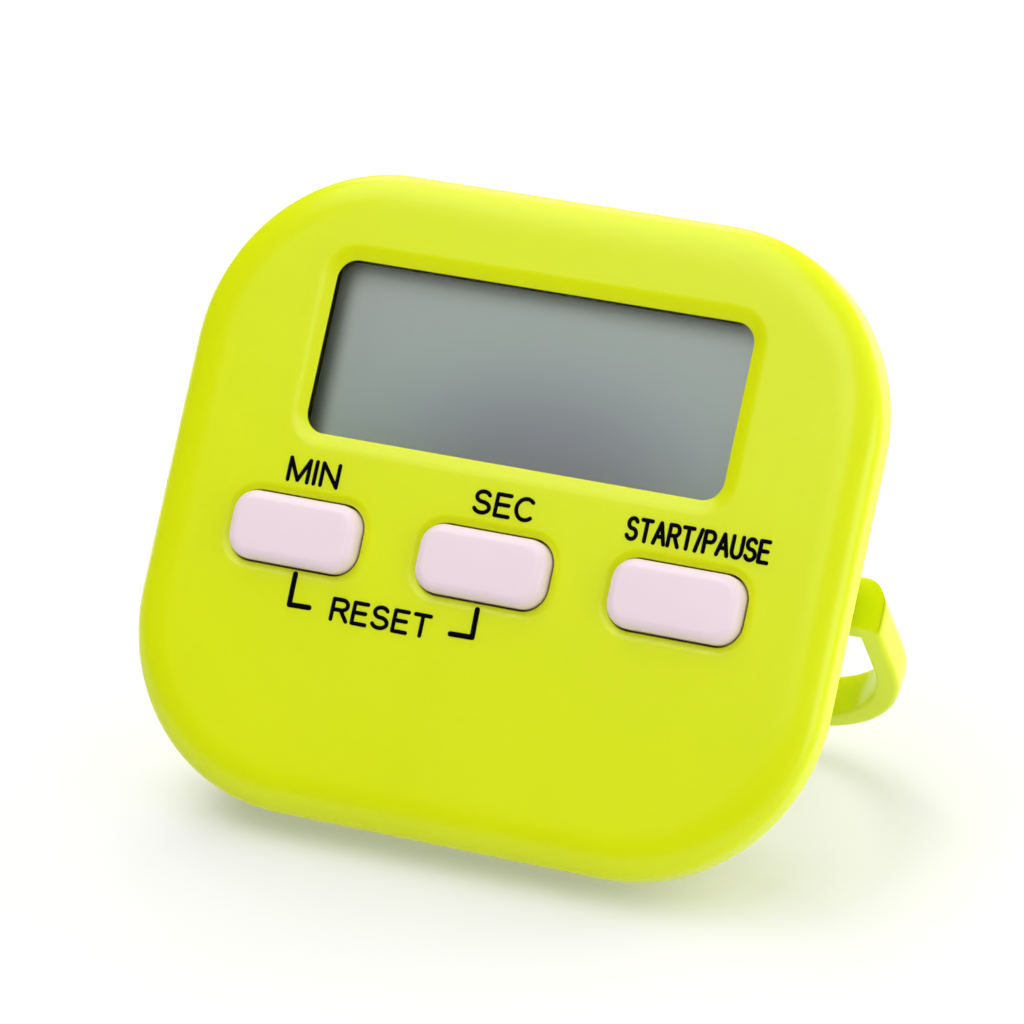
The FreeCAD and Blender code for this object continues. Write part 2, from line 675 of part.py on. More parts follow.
def loop_outline(half, corner, side_start, foot, top):
    """The loop's outline, flat: X across and Y down from the crease as minus values.

    Straight arms run to the corners; the foot bows down gently between the corners.
    """
    middle_x = half - corner
    bow = foot - side_start - corner
    lean_out = math.atan2(2 * bow, middle_x)
    end_x = middle_x + corner * math.sin(lean_out)
    end_y = -side_start - corner * math.cos(lean_out)
    mid_angle = (math.pi / 2 - lean_out) / 2
    mid_x = middle_x + corner * math.cos(mid_angle)
    mid_y = -side_start - corner * math.sin(mid_angle)
    points = [vec(half, top, 0), vec(half, -side_start, 0), vec(end_x, end_y, 0), vec(0, -foot, 0)]
    mirrored = [vec(-p.x, p.y, 0) for p in points]
    edges = [
        Part.makeLine(points[0], points[1]),
        Part.Arc(points[1], vec(mid_x, mid_y, 0), points[2]).toShape(),
        Part.Arc(points[2], points[3], mirrored[2]).toShape(),
        Part.Arc(mirrored[2], vec(-mid_x, mid_y, 0), mirrored[1]).toShape(),
        Part.makeLine(mirrored[1], mirrored[0]),
        Part.makeLine(mirrored[0], points[0]),
    ]
    return Part.Wire(edges)


def stand_loop(length):
    """The loop lying flat with its crease on the X axis, thickness from Z = 0 to minus Z."""
    turn = math.radians(STAND_OPEN)
    above = STAND_THICK / math.tan(turn)
    outer = Part.Face(loop_outline(STAND_HALF, STAND_CORNER, STAND_CORNER_DROP, length, above))
    body = outer.extrude(vec(0, 0, -STAND_THICK))
    rounded = [edge for edge in edges_at(body, STAND_THICK) if edge.BoundBox.YMin < 0]
    body = body.makeFillet(STAND_ROUND, rounded)
    size = 4 * STAND_THICK
    stop = Part.makeBox(3 * STAND_HALF, 2 * size, size, vec(-1.5 * STAND_HALF, -size, 0))
    stop.rotate(vec(0, 0, 0), vec(1, 0, 0), -STAND_OPEN)
    hole_half = STAND_HALF - STAND_ARM
    hole_corner = STAND_CORNER - STAND_ARM
    hole = loop_outline(hole_half, hole_corner, STAND_CORNER_DROP, length - STAND_CROSSBAR, -STAND_TOP_BAR)
    hole = Part.Face(hole).extrude(vec(0, 0, -3 * STAND_THICK))
    hole.translate(vec(0, 0, STAND_THICK))
    gap = HINGE_LUG_OUTER + STAND_GAP
    middle = Part.makeBox(2 * gap, 4 * STAND_THICK, 4 * STAND_THICK,
                          vec(-gap, -STAND_TOP_BAR - 1, -2 * STAND_THICK))
    along = PIVOT_INSET * (1 - math.cos(turn)) / math.sin(turn)
    bores = []
    for start in (gap - 1, -PIN_END - 0.3):
        bores.append(Part.makeCylinder(PIN_RADIUS + PIN_CLEARANCE, PIN_END + 1.3 - gap,
                                       vec(start, -along, -PIVOT_INSET), vec(1, 0, 0)))
    return without(body, [stop, hole, middle] + bores)


def open_stand(loop):
    """Swing the flat loop out from the back, its crease just behind the back shell."""
    loop.rotate(vec(0, 0, 0), vec(1, 0, 0), STAND_OPEN)
    loop.translate(vec(0, CREASE_Y, -(BACK_DEPTH + STAND_GAP)))
    return loop


# ---- Assembly -----------------------------------------------------------------------------


def lean_back(shape):
    shape.rotate(vec(0, 0, 0), vec(1, 0, 0), 90 - LEAN)
    return shape


def stand_length(lowest):
    """How long the loop is, from its crease to its foot, to reach the table at lowest."""
    lean = math.radians(LEAN)
    crease_height = CREASE_Y * math.cos(lean) - (BACK_DEPTH + STAND_GAP) * math.sin(lean)
    drop = math.radians(STAND_OPEN - LEAN)
    return (crease_height - lowest) / math.cos(drop)


def build_pieces():
    pieces = {
        "front_case": front_case(),
        "back_case": back_case(),
        "display_window": display_window(),
        "keypad_mat": keypad_mat(),
        "circuit_board": circuit_board(),
        "chip_blob": chip_blob(),
        "crystal": crystal(),
        "capacitors": small_blocks([(-20.0, -8.0), (-4.5, -7.0), (3.5, -9.0)], 1.6, 0.8, 0.8),
        "resistors": small_blocks([(-20.0, 3.5), (-6.0, 1.5), (6.0, -5.0), (16.0, -9.0)], 1.6, 0.8, 0.45),
        "battery_cell": battery_cell(),
        "battery_contact_negative": negative_contact(),
        "battery_contact_positive": positive_contact(),
        "battery_door": battery_door(),
        "magnet": magnet(),
        "case_screws": case_screws(),
        "board_screws": board_screws(),
        "left_hinge_pin": hinge_pin(-1),
        "right_hinge_pin": hinge_pin(1),
    }
    pieces.update(display_pieces())
    pieces.update(buzzer_pieces())
    for name, x in BUTTON_X.items():
        pieces[name + "_button"] = button(x)
        pieces[name + "_pill"] = carbon_pill(x)
    return pieces


def main():
    pieces = {name: lean_back(shape) for name, shape in build_pieces().items()}
    lowest = pieces["back_case"].optimalBoundingBox(False).ZMin
    pieces["stand_loop"] = lean_back(open_stand(stand_loop(stand_length(lowest))))
    box = Part.makeCompound(list(pieces.values())).optimalBoundingBox(False)
    home = vec(-(box.XMin + box.XMax) / 2, -(box.YMin + box.YMax) / 2, -box.ZMin)
    os.makedirs("parts", exist_ok=True)
    for name, shape in pieces.items():
        shape.translate(home)
        shape.exportStep("parts/" + name + ".step")
    print("moved by", home, "box", box.XLength, box.YLength, box.ZLength)
    print("stand length", stand_length(lowest), "pivot", pivot())


main()
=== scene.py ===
"""Looks of the countdown timer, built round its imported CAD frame.

Pieces are drawn in the timer's own face frame, in millimetres: X to the right, Y up the
face, depth behind the face. FACE then sets them in the CAD frame, in metres.
"""

import json
import math

import bmesh
import bpy
from mathutils import Matrix, Vector
from mathutils.geometry import delaunay_2d_cdt


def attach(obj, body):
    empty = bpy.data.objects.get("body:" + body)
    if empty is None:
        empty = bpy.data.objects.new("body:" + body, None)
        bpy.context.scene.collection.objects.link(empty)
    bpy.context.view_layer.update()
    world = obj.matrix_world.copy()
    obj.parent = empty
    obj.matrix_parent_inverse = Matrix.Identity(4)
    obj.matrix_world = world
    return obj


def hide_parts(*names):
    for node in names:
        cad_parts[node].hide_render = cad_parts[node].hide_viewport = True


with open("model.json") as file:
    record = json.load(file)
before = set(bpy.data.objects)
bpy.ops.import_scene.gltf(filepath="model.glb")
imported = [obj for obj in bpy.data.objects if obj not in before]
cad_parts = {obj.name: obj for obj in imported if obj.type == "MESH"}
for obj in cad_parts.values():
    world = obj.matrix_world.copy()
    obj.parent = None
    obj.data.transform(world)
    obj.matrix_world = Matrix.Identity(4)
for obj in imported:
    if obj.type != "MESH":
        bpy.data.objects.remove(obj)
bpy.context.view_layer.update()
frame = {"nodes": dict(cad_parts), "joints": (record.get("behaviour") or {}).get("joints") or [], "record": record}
MM = 0.001

# ---- The face frame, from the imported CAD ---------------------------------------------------

JOINTS = {joint["name"]: joint for joint in frame["joints"]}
BACKWARD = Vector(JOINTS["start_press"]["axis"]).normalized()
LEAN = math.asin(-BACKWARD.z)
STAND_OPEN = -math.radians(JOINTS["stand_fold"]["range_deg"][0])


def face_matrix():
    """Where the face's centre is and how it leans, from the front shell's own extent."""
    turn = Matrix.Rotation(math.pi / 2 - LEAN, 4, "X")
    flat = [turn.inverted() @ v.co for v in frame["nodes"]["front_case"].data.vertices]
    middle = [(min(p[i] for p in flat) + max(p[i] for p in flat)) / 2 for i in (0, 1)]
    top = max(p.z for p in flat)
    return turn @ Matrix.Translation((middle[0], middle[1], top))


FACE = face_matrix()


class Extent:
    """A CAD node's extent in the face frame, in millimetres: its depths grow backwards."""

    def __init__(self, node):
        back = FACE.inverted()
        points = [(back @ v.co) / MM for v in frame["nodes"][node].data.vertices]
        self.x = (min(p.x for p in points), max(p.x for p in points))
        self.y = (min(p.y for p in points), max(p.y for p in points))
        self.depth = (-max(p.z for p in points), -min(p.z for p in points))
        self.width = self.x[1] - self.x[0]
        self.height = self.y[1] - self.y[0]
        self.middle = ((self.x[0] + self.x[1]) / 2, (self.y[0] + self.y[1]) / 2)


# ---- Sizes, in millimetres -----------------------------------------------------------------

CASE = Extent("front_case")
LENS = Extent("display_window")
FILM = Extent("lcd_front_polariser")
STAND = Extent("stand_loop")

# The front shell: its outline, its wall and the elliptical edge of its face.
CASE_CORNER = 18.0
CASE_HEIGHT = 60.0
FRONT_DEPTH = 4.0
FACE_EDGE = 1.9
FACE_EDGE_REACH = 3.8
WALL = 1.6
FACE_WALL = 1.8

# The window: the lens in its pocket, and the sloped opening in front of it.
LENS_MARGIN = 1.7
LENS_GAP = 0.1
WINDOW_CORNER = 2.0
WINDOW_BEVEL = 1.15
WINDOW_BEVEL_DEPTH = 0.42
WINDOW_BLEND = 2.6
WINDOW_LIP = 0.12
WINDOW_UNDERCUT = 0.3

# The black border, a dark sheet of painted shade round the display: how far its clear middle reaches past the
# window, and its own width.
BORDER_SIDE = 0.72
BORDER_BELOW = 0.3
BORDER_ABOVE = -0.06
BORDER_CORNER = 0.8
BORDER_SPARE_X = 1.4
BORDER_SPARE_Y = 2.2
BORDER_THICK = 0.03
BORDER_GAP = 0.01

# The keys, and the shallow dish round each opening.
BUTTON_SIZE = (12.8, 6.38)
BUTTON_CORNER = 2.2
BUTTON_GAP = 0.2
BUTTON_SHOULDER = 0.3
BUTTON_EDGE_REACH = 1.0
BUTTON_CROWN = 0.08
DISH_BLEND = 1.3
DISH_REACH = 0.6
DISH_DEPTH = 0.2
FLANGE_MARGIN = 0.9
FLANGE_THICK = 0.7
FLANGE_GAP = 0.2
POST_RADIUS = 1.6
POST_CHAMFER = 0.15

# The screw bosses behind the face.
CASE_SCREWS = [(-26.8, 12.5), (26.8, 12.5), (-23.5, -18.0), (23.5, -18.0)]
BOARD_SCREWS = [(-27.3, 3.5), (27.3, 3.5), (-10.0, -15.0), (10.0, -15.0)]
CASE_BOSS_RADIUS = 2.1
BOARD_BOSS_RADIUS = 1.9
CASE_JOIN = 7.6
BOARD_FRONT = 6.0
SCREW_RADIUS = 0.75
SCREW_HOLE_FLOOR = 3.0

# The stand's loop, drawn flat with its hinge crease at Y = 0.
STAND_THICK = 4.3
STAND_HALF = STAND.width / 2
STAND_ARM = 2.2
STAND_CROSSBAR = 2.9
STAND_TOP_BAR = 2.1
STAND_CORNER = 14.0
STAND_DROP = 8.0
STAND_ROUND = 2.0
STAND_LENGTH = 24.34
CREASE = (-2.55, 15.8)
LUG_GAP = 14.3

# The labels' ink: stroke widths, and how far it stands off the face.
LETTER_STROKE = 0.38
MARK_STROKE = 0.50
LETTER_SPACE = 0.27
INK_LOW = -0.01
INK_HIGH = 0.03

# Each word: piece name, word, left end, foot, width and height.
WORDS = [
    ("label_min", "MIN", -21.2, 0.13, 4.95, 2.05),
    ("label_sec", "SEC", -2.4, 0.25, 5.8, 1.95),
    ("label_start_pause", "START/PAUSE", 12.7, 0.3, 13.65, 1.9),
    ("label_reset", "RESET", -13.95, -11.8, 9.75, 1.9),
]

# Each corner mark that ties RESET to two keys: piece name and line.
MARKS = [
    ("label_mark_left", [(-18.33, -8.34), (-18.3, -11.2), (-16.28, -11.15)]),
    ("label_mark_right", [(0.09, -8.5), (0.16, -11.06), (-2.02, -11.1)]),
]

# ---- Light and camera, in metres and watts -------------------------------------------------

AIM = (0, 0, 0.03)

# Each lamp: name, place, size and power.
LAMPS = [
    ("front_box", (-0.148, -0.639, 0.815), (0.62, 0.56), 3.0),
    ("top_box", (-0.24, -0.05, 0.62), (0.45, 0.45), 1.7),
    ("back_right_box", (0.34, 0.46, 0.22), (0.60, 0.42), 2.8),
    ("right_box", (0.60, -0.22, 0.20), (0.35, 0.35), 1.0),
    ("rim_box", (-0.30, 0.42, 0.58), (0.40, 0.40), 2.1),
]
SKY_BRIGHT_SIDE = (0.60, 0.30, 0.74)
SKY_DIM = 0.06
SKY_BRIGHT = 0.80
FLOOR_HALF = 3.0
FLOOR_GLOW = 0.27

CAMERA_FROM_FACE = (0.20278, -0.43887, 0.20600)
CAMERA_AIM = (-0.38360, 0.83663, -0.39103)
CAMERA_LENS = 203.9


# ---- Drawing with rings --------------------------------------------------------------------


def rounded_box(width, height, corner, x=0.0, y=0.0, steps=12):
    """An outline as a function of how far it is drawn in: a rectangle with round corners."""

    def at(inset):
        radius = max(corner - inset, 0.05)
        reach_x = width / 2 - inset - radius
        reach_y = height / 2 - inset - radius
        points = []
        for quarter, (side_x, side_y) in enumerate(((1, 1), (-1, 1), (-1, -1), (1, -1))):
            for step in range(steps + 1):
                angle = math.radians(90 * (quarter + step / steps))
                points.append((
                    x + side_x * reach_x + radius * math.cos(angle),
                    y + side_y * reach_y + radius * math.sin(angle),
                ))
        return points

    return at


def circle(radius, x, y, count=32):
    """A round outline as a function of how far it is drawn in."""

    def at(inset):
        turns = [2 * math.pi * step / count for step in range(count)]
        drawn = radius - inset
        return [(x + drawn * math.cos(t), y + drawn * math.sin(t)) for t in turns]

    return at


def eased(points, radii, steps=6):
    """The polyline through 2-D points with each inner corner turned by an arc of its radius."""
    path = [tuple(points[0])]
    for before, corner, after, radius in zip(points, points[1:], points[2:], radii):
        corner = Vector(corner)
        come = (Vector(before) - corner).normalized()
        leave = (Vector(after) - corner).normalized()
        half = come.angle(leave) / 2
        reach = radius / math.tan(half)
        centre = corner + (come + leave).normalized() * (radius / math.sin(half))
        first = corner + come * reach - centre
        last = corner + leave * reach - centre
        start = math.atan2(first.y, first.x)
        turn = (math.atan2(last.y, last.x) - start + math.pi) % (2 * math.pi) - math.pi
        for step in range(steps + 1):
            angle = start + turn * step / steps
            path.append((centre.x + radius * math.cos(angle), centre.y + radius * math.sin(angle)))
    path.append(tuple(points[-1]))
    return path


def window_outline():
    """The opening that the lens shows through."""
    width = LENS.width - 2 * LENS_MARGIN
    height = LENS.height - 2 * LENS_MARGIN
    return rounded_box(width, height, WINDOW_CORNER, *LENS.middle, steps=10)


def quarter_ellipse(inset, depth, reach, height, steps):
    """A profile from a wall's side round onto its top, as (inset, depth) points."""
    turns = [math.pi / 2 * step / steps for step in range(steps + 1)]
    return [(inset + reach * (1 - math.cos(t)), depth + height * (1 - math.sin(t))) for t in turns]


class Skin:
    """A piece's surface, drawn ring by ring in the face frame, in millimetres."""

    def __init__(self):
        self.points = []
        self.faces = []

    def ring(self, outline, depth):
        """Adds an outline's points at one depth; gives back their indices."""
        first = len(self.points)
        self.points += [(x, y, -depth) for x, y in outline]
        return list(range(first, len(self.points)))

    def bridge(self, a, b):
        """A band of faces between two rings of the same count."""
        for i in range(len(a)):
            self.faces.append((a[i - 1], a[i], b[i], b[i - 1]))

    def wall(self, outline, profile):
        """Rings along a profile of (inset, depth) points; gives back the first and the last."""
        rings = [self.ring(outline(inset), depth) for inset, depth in profile]
        for a, b in zip(rings, rings[1:]):
            self.bridge(a, b)
        return rings[0], rings[-1]

    def anticlockwise(self, loop):
        """The loop, turned round if it runs clockwise; the triangulation needs it so."""
        corners = [self.points[i] for i in loop]
        sides = zip(corners, corners[1:] + corners[:1])
        twice_area = sum(a[0] * b[1] - b[0] * a[1] for a, b in sides)
        return loop if twice_area > 0 else loop[::-1]

    def fill(self, rim, holes=(), inner=()):
        """Covers the area inside the rim and outside the holes; inner points are (x, y, depth)."""
        loops = [self.anticlockwise(loop) for loop in (rim, *holes)]
        index = [i for loop in loops for i in loop]
        starts = [sum(len(loop) for loop in loops[:n]) for n in range(len(loops))]
        for x, y, depth in inner:
            index += self.ring([(x, y)], depth)
        flat = [Vector(self.points[i][:2]) for i in index]
        regions = [list(range(start, start + len(loop))) for start, loop in zip(starts, loops)]
        found = delaunay_2d_cdt(flat, [], regions, 0, 1e-5)
        faces, original_points, regions_of_face = found[2], found[3], found[5]
        for face, inside in zip(faces, regions_of_face):
            if inside == [0]:
                self.faces.append([index[original_points[v][0]] for v in face])

    def boss(self, x, y, radius, base, top, hole_floor):
        """A screw boss that stands on the plane at base; gives back its foot ring."""
        sink = radius - SCREW_RADIUS
        profile = eased(
            [(-0.3, base), (0, base), (0, top), (sink, top), (sink, hole_floor)],
            [0.2, 0.12, 0.1], 3)
        foot, floor = self.wall(circle(radius, x, y, 20), profile)
        self.fill(floor)
        return foot


def mesh_object(name, points, faces, material, place=FACE):
    """A smooth closed mesh from points in millimetres."""
    mesh = bpy.data.meshes.new(name)
    mesh.from_pydata([place @ (Vector(p) * MM) for p in points], [], faces)
    work = bmesh.new()
    work.from_mesh(mesh)
    bmesh.ops.remove_doubles(work, verts=work.verts, dist=1e-7)
    bmesh.ops.dissolve_degenerate(work, edges=work.edges, dist=1e-8)
    bmesh.ops.recalc_face_normals(work, faces=work.faces)
    for face in work.faces:
        face.smooth = True
    work.to_mesh(mesh)
    work.free()
    mesh.materials.append(material)
    piece = bpy.data.objects.new(name, mesh)
    bpy.context.scene.collection.objects.link(piece)
    return piece


def place_piece(piece, body, slot, *nodes):
    """Rides the piece on its body; it stands for the CAD nodes named."""
    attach(piece, body)
    if nodes:
        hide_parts(*nodes)
    even = piece.modifiers.new("even_shading", "WEIGHTED_NORMAL")
    even.keep_sharp = True


# ---- Materials -----------------------------------------------------------------------------


class Finish:
    """One procedural material: a Principled shader with small nodes feeding it."""

    def __init__(self, name, **constants):
        self.material = bpy.data.materials.new(name)
        self.material.use_nodes = True
        self.nodes = self.material.node_tree.nodes
        self.links = self.material.node_tree.links
        self.shader = self.nodes["Principled BSDF"]
        self.place = self.nodes.new("ShaderNodeTexCoord").outputs["Object"]
        for key, value in constants.items():
            socket = key.replace("_", " ").title().replace("Ior", "IOR")
            self.shader.inputs[socket].default_value = value

    def noise(self, size, detail=3.0, roughness=0.5):
        """Noise with features about size millimetres across, from 0 to 1."""
        texture = self.nodes.new("ShaderNodeTexNoise")
        texture.inputs["Scale"].default_value = 1 / (size * MM)
        texture.inputs["Detail"].default_value = detail
        texture.inputs["Roughness"].default_value = roughness
        self.links.new(self.place, texture.inputs["Vector"])
        return texture.outputs["Fac"]

    def ramp(self, factor, stops):
        """A colour ramp; stops are (position, colour)."""
        ramp = self.nodes.new("ShaderNodeValToRGB")
        elements = ramp.color_ramp.elements
        while len(elements) < len(stops):
            elements.new(0.5)
        for element, (position, colour) in zip(elements, stops):
            element.position = position
            element.color = (*colour, 1.0) if len(colour) == 3 else colour
        self.links.new(factor, ramp.inputs["Fac"])
        return ramp.outputs["Color"]

    def range(self, factor, low, high):
        """The factor's middle stretch spread over low to high."""
        spread = self.nodes.new("ShaderNodeMapRange")
        spread.inputs["From Min"].default_value = 0.3
        spread.inputs["From Max"].default_value = 0.7
        spread.inputs["To Min"].default_value = low
        spread.inputs["To Max"].default_value = high
        self.links.new(factor, spread.inputs["Value"])
        return spread.outputs["Result"]

    def times(self, one, other):
        """Two colours multiplied."""
        mix = self.nodes.new("ShaderNodeMix")
        mix.data_type = "RGBA"
        mix.blend_type = "MULTIPLY"
        mix.inputs["Factor"].default_value = 1.0
        self.links.new(one, mix.inputs["A"])
        self.links.new(other, mix.inputs["B"])
        return mix.outputs["Result"]

    def feed(self, socket, output):
        """Lets an output drive one of the shader's sockets."""
        self.links.new(output, self.shader.inputs[socket])

    def bump(self, factor, height, strength=0.5):
        """Small relief; height in millimetres."""
        node = self.nodes.new("ShaderNodeBump")
        node.inputs["Strength"].default_value = strength
        node.inputs["Distance"].default_value = height * MM
        self.links.new(factor, node.inputs["Height"])
        self.links.new(node.outputs["Normal"], self.shader.inputs["Normal"])


def shade(colour, factor):
    """The colour made lighter or darker, and never more than white."""
    return tuple(min(1.0, channel * factor) for channel in colour)


def moulded(name, colour, rough, mottle=0.02, grain=0.004, grain_size=0.35, **constants):
    """Moulded plastic: faint flow mottling, uneven gloss and fine surface texture."""
    finish = Finish(name, **constants)
    flow = finish.noise(14.0, 3.0)
    dark, light = shade(colour, 1 - mottle), shade(colour, 1 + mottle)
    finish.feed("Base Color", finish.ramp(flow, [(0.3, dark), (0.5, colour), (0.7, light)]))
    finish.feed("Roughness", finish.range(finish.noise(9.0, 2.0), rough - 0.015, rough + 0.02))
    finish.bump(finish.noise(grain_size, 2.0), grain)
    return finish.material


def metal(name, colour, rough, tarnish=0.08):
    """Plated or bare metal: cloudy tarnish, fine scratches and uneven polish."""
    finish = Finish(name, metallic=1.0)
    dull, bright = shade(colour, 1 - tarnish), shade(colour, 1 + tarnish / 2)
    finish.feed("Base Color", finish.ramp(finish.noise(1.6, 5.0), [(0.3, dull), (0.7, bright)]))
    finish.feed("Roughness", finish.range(finish.noise(0.5, 6.0, 0.7), rough - 0.08, rough + 0.10))
    finish.bump(finish.noise(0.06, 3.0), 0.002)
    return finish.material


def window_clear():
    """Clear acrylic: a thin coat of gloss over what lies behind it."""
    material = bpy.data.materials.new("window_clear")
    material.use_nodes = True
    nodes = material.node_tree.nodes
    links = material.node_tree.links
    nodes.remove(nodes["Principled BSDF"])
    clear = nodes.new("ShaderNodeBsdfTransparent")
    clear.inputs["Color"].default_value = (0.97, 0.985, 0.98, 1)
    gloss = nodes.new("ShaderNodeBsdfGlossy")
    gloss.inputs["Roughness"].default_value = 0.12
    fresnel = nodes.new("ShaderNodeFresnel")
    fresnel.inputs["IOR"].default_value = 1.35
    mix = nodes.new("ShaderNodeMixShader")
    links.new(fresnel.outputs["Fac"], mix.inputs["Fac"])
    links.new(clear.outputs["BSDF"], mix.inputs[1])
    links.new(gloss.outputs["BSDF"], mix.inputs[2])
    links.new(mix.outputs["Shader"], nodes["Material Output"].inputs["Surface"])
    return material


def display_film():
    """The display's grey-green film, with a painted reflection: dimmer and bluer round a spot low in its middle.

    Painted shade of the window's left and top walls darkens it towards those two edges.
    """
    film = Finish("polariser")
    stretch = Vector((1.0, 1.6, 1.6))
    spot = FACE @ (Vector((FILM.middle[0] + 3.0, FILM.middle[1] - 9.0, -FILM.depth[0])) * MM)
    shift = film.nodes.new("ShaderNodeMapping")
    shift.inputs["Scale"].default_value = stretch
    shift.inputs["Location"].default_value = -spot * stretch
    film.links.new(film.place, shift.inputs["Vector"])
    away = film.nodes.new("ShaderNodeVectorMath")
    away.operation = "LENGTH"
    film.links.new(shift.outputs["Vector"], away.inputs[0])
    spread = film.nodes.new("ShaderNodeMapRange")
    spread.inputs["From Max"].default_value = 30 * MM
    film.links.new(away.outputs["Value"], spread.inputs["Value"])
    # Painted reflection: the film's own grey-green, dimmer and bluer towards the spot low in its middle.
    film_tone_and_painted_reflection = film.ramp(
        spread.outputs["Result"],
        [(0.0, (0.355, 0.350, 0.405)), (0.25, (0.375, 0.382, 0.425)), (0.52, (0.475, 0.535, 0.525)),
         (0.74, (0.555, 0.625, 0.580)), (1.0, (0.570, 0.610, 0.585))])
    speckle = film.ramp(film.noise(0.22, 3.0), [(0.3, (0.95, 0.95, 0.955)), (0.7, (1.0, 1.0, 1.0))])
    colour = film.times(film_tone_and_painted_reflection, speckle)
    window = window_outline()(0)
    left = min(p[0] for p in window)
    top = max(p[1] for p in window)
    # Painted shade: the film's colour darkened towards the window's left and top edges, where the walls cast
    # shadow.
    shaded_edges = (
        (Vector((1, 0, 0)), left - 0.9, 2.6),
        (Vector((0, -1, 0)), -top - 0.5, 1.9),
    )
    for axis, edge, reach in shaded_edges:
        direction = FACE.to_3x3() @ axis
        along = film.nodes.new("ShaderNodeVectorMath")
        along.operation = "DOT_PRODUCT"
        along.inputs[1].default_value = direction
        film.links.new(film.place, along.inputs[0])
        start = direction.dot(FACE.translation) + edge * MM
        fall = film.nodes.new("ShaderNodeMapRange")
        fall.interpolation_type = "SMOOTHSTEP"
        fall.inputs["From Min"].default_value = start
        fall.inputs["From Max"].default_value = start + reach * MM
        film.links.new(along.outputs["Value"], fall.inputs["Value"])
        shadow = film.ramp(
            fall.outputs["Result"], [(0.0, (0.30, 0.30, 0.31)), (1.0, (1.0, 1.0, 1.0))])
        colour = film.times(colour, shadow)
    film.feed("Base Color", colour)
    film.feed("Roughness", film.range(film.noise(0.4, 2.0), 0.42, 0.58))
    return film.material


def rubber_stripes():
    """The display's connector: dark and pale layers standing side by side along X."""
    strip = Finish("zebra_rubber", roughness=0.7)
    wave = strip.nodes.new("ShaderNodeTexWave")
    wave.bands_direction = "X"
    wave.inputs["Scale"].default_value = 1 / (3.2 * MM)
    wave.inputs["Distortion"].default_value = 0.4
    strip.links.new(strip.place, wave.inputs["Vector"])
    layers = [(0.4, (0.02, 0.02, 0.02)), (0.6, (0.45, 0.45, 0.46))]
    strip.feed("Base Color", strip.ramp(wave.outputs["Fac"], layers))
    return strip.material


LIME = (0.690, 0.790, 0.0025)
PINK = (0.830, 0.680, 0.745)
INK = (0.0024, 0.0024, 0.0045)


def make_materials():
    """One material for each of the record's slots, and the labels' ink."""
    lime = moulded(
        "lime_plastic", LIME, 0.24, mottle=0.014, grain=0.003, specular_ior_level=0.32,
        subsurface_weight=0.3, subsurface_radius=(0.0025, 0.0025, 0.0002), subsurface_scale=1.0)
    return {
        "lime_plastic": lime,
        "button_plastic": moulded("button_plastic", PINK, 0.40, mottle=0.012, grain=0.003),
        "label_ink": moulded(
            "label_ink", INK, 0.5, mottle=0.3, grain=0.006, grain_size=0.2,
            specular_ior_level=0.0),
        "window_clear": window_clear(),
        "polariser": display_film(),
        "lcd_glass": moulded("lcd_glass", (0.66, 0.72, 0.68), 0.10, specular_ior_level=0.6),
        "reflector": metal("reflector", (0.42, 0.46, 0.43), 0.45),
        "white_plastic": moulded("white_plastic", (0.80, 0.80, 0.77), 0.45),
        "zebra_rubber": rubber_stripes(),
        "silicone": moulded(
            "silicone", (0.58, 0.60, 0.62), 0.55, mottle=0.04, subsurface_weight=0.2),
        "carbon": moulded("carbon", (0.012, 0.012, 0.012), 0.75, mottle=0.4),
        "board_green": moulded(
            "board_green", (0.010, 0.115, 0.035), 0.32, mottle=0.25, grain=0.02),
        "epoxy": moulded("epoxy", (0.010, 0.010, 0.011), 0.22, mottle=0.2),
        "chip_ceramic": moulded("chip_ceramic", (0.30, 0.19, 0.11), 0.5, mottle=0.15),
        "piezo": moulded("piezo", (0.70, 0.69, 0.64), 0.38, mottle=0.08),
        "wire_red": moulded("wire_red", (0.50, 0.012, 0.010), 0.4),
        "wire_black": moulded("wire_black", (0.012, 0.012, 0.013), 0.4, mottle=0.2),
        "magnet_dark": moulded(
            "magnet_dark", (0.045, 0.045, 0.050), 0.5, mottle=0.3, grain=0.03, grain_size=0.5),
        "steel": metal("steel", (0.60, 0.59, 0.56), 0.34),
        "cell_steel": metal("cell_steel", (0.72, 0.72, 0.72), 0.24, 0.04),
        "brass": metal("brass", (0.76, 0.56, 0.26), 0.33, 0.15),
    }


MATERIALS = make_materials()


# ---- Front shell ---------------------------------------------------------------------------


def button_extents():
    """The three keys by name, with their CAD extents."""
    return {name: Extent(name + "_button") for name in ("minute", "second", "start")}


